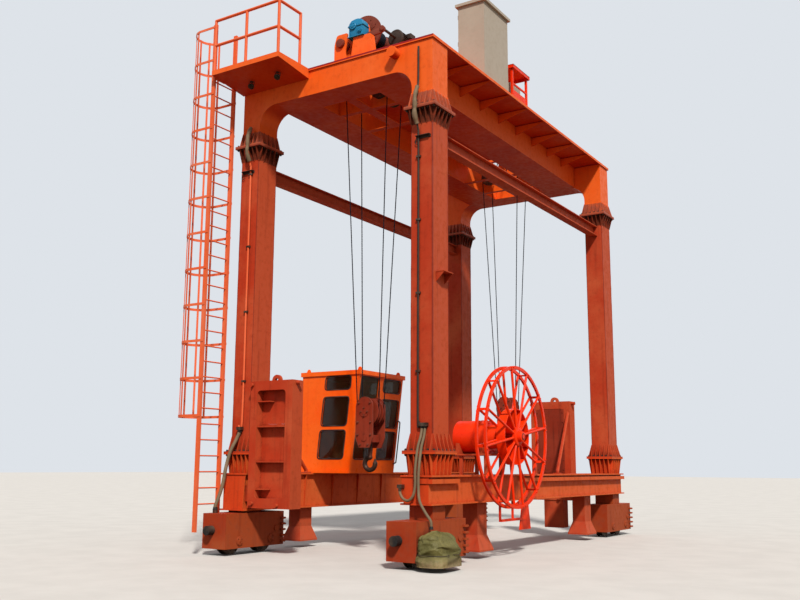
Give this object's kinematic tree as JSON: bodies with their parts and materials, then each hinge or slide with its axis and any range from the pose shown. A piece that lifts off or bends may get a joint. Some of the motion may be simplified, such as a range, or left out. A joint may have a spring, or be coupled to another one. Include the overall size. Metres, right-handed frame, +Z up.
{
  "type": "rail-mounted gantry crane",
  "caption": "Steel gantry crane on rail bogies with twin hoists on its deck, a side cab and a cable reel.",
  "frame": {"origin": "centre of the outline at the lowest point of the travel wheels' flanges", "axes": "+X across the rails towards the cable reel, +Y along the rails away from the ladder, +Z up"},
  "size_m": [6.0622, 10.875, 11.24],
  "materials": {
    "red_oxide_paint": "matt red oxide primer, weathered",
    "orange_paint": "satin orange",
    "salmon_paint": "satin, sun-bleached",
    "cab_paint": "satin orange",
    "bright_red_paint": "gloss red orange",
    "grey_sheet": "matt grey beige sheet",
    "worn_steel": "dull",
    "rope_wire": "greased wire rope",
    "brown_steel": "weathered",
    "cab_glass": "tinted",
    "black_rubber": "matt",
    "blue_paint": "satin",
    "dark_paint": "satin",
    "cover_fabric": "weathered tarpaulin",
    "cable_sheath": "dusty"
  },
  "bodies": {
    "gantry": {"sill_left": "red_oxide_paint", "sill_right": "red_oxide_paint", "leg_front_left": "red_oxide_paint", "leg_front_right": "red_oxide_paint", "leg_rear_left": "red_oxide_paint", "leg_rear_right": "red_oxide_paint", "portal_front": "orange_paint", "portal_rear": "orange_paint", "girders": "orange_paint", "deck": "orange_paint", "hoist_floors": "orange_paint", "tie_beams": "red_oxide_paint", "access_platform": "orange_paint", "platform_railing": "salmon_paint", "ladder": "salmon_paint", "ladder_cage": "salmon_paint", "cabinet": "grey_sheet", "cabinet_roof": "grey_sheet", "cab_shell": "cab_paint", "cab_roof": "cab_paint", "cab_glass": "cab_glass", "window_seals": "black_rubber", "bogies_left": "red_oxide_paint", "bogies_right": "red_oxide_paint", "wheels": "worn_steel", "buffers": "black_rubber", "rail_anchors": "red_oxide_paint", "upright_frame_left": "red_oxide_paint", "upright_frame_right": "red_oxide_paint", "hoist_frame_front": "orange_paint", "hoist_frame_rear": "orange_paint", "hoist_gearboxes": "blue_paint", "hoist_motors": "dark_paint", "upper_sheaves": "worn_steel", "equalizers": "worn_steel", "rope_leads": "rope_wire", "canopy": "red_oxide_paint", "reel_stand": "red_oxide_paint", "reel_drive": "bright_red_paint", "reel_shaft": "worn_steel", "cable_guide": "bright_red_paint", "drive_cover": "cover_fabric", "cable_clamps": "worn_steel", "cable_left": "cable_sheath", "cable_right": "cable_sheath", "hose_left": "cable_sheath", "ropes_front": "rope_wire", "ropes_rear": "rope_wire"},
    "drum_front": {"drum_front": "brown_steel"},
    "drum_rear": {"drum_rear": "brown_steel"},
    "block_front": {"block_front": "red_oxide_paint"},
    "hook_front": {"hook_front": "worn_steel"},
    "block_rear": {"block_rear": "red_oxide_paint"},
    "hook_rear": {"hook_rear": "worn_steel"},
    "reel_wheel": {"reel_wheel": "bright_red_paint"}
  },
  "joints": [
    {"name": "hoist_front_lift", "type": "slide", "parent": "gantry", "child": "block_front", "axis": [0, 0, 1], "range_m": [0, 5.2], "deforming": ["ropes_front"]},
    {"name": "hoist_rear_lift", "type": "slide", "parent": "gantry", "child": "block_rear", "axis": [0, 0, 1], "range_m": [0, 4.7], "deforming": ["ropes_rear"]},
    {"name": "hook_front_swivel", "type": "hinge", "parent": "block_front", "child": "hook_front", "pos_m": [0.17125, -3.1325, 2.06], "axis": [0, 0, 1], "continuous": true},
    {"name": "hook_rear_swivel", "type": "hinge", "parent": "block_rear", "child": "hook_rear", "pos_m": [0.01125, 3.3075, 2.49], "axis": [0, 0, 1], "continuous": true},
    {"name": "drum_front_spin", "type": "hinge", "parent": "gantry", "child": "drum_front", "pos_m": [0.31125, -3.1325, 10.34], "axis": [0, 1, 0], "range_deg": [0, 2807.8]},
    {"name": "drum_rear_spin", "type": "hinge", "parent": "gantry", "child": "drum_rear", "pos_m": [-0.12875, 3.3075, 10.34], "axis": [0, -1, 0], "range_deg": [0, 2537.9]},
    {"name": "reel_spin", "type": "hinge", "parent": "gantry", "child": "reel_wheel", "pos_m": [2.81125, -2.2625, 2.21], "axis": [1, 0, 0], "continuous": true}
  ],
  "couplings": [
    {"joint": "drum_front_spin", "follows": "hoist_front_lift", "rad_per_m": 9.4206},
    {"joint": "drum_rear_spin", "follows": "hoist_rear_lift", "rad_per_m": 9.4206}
  ]
}
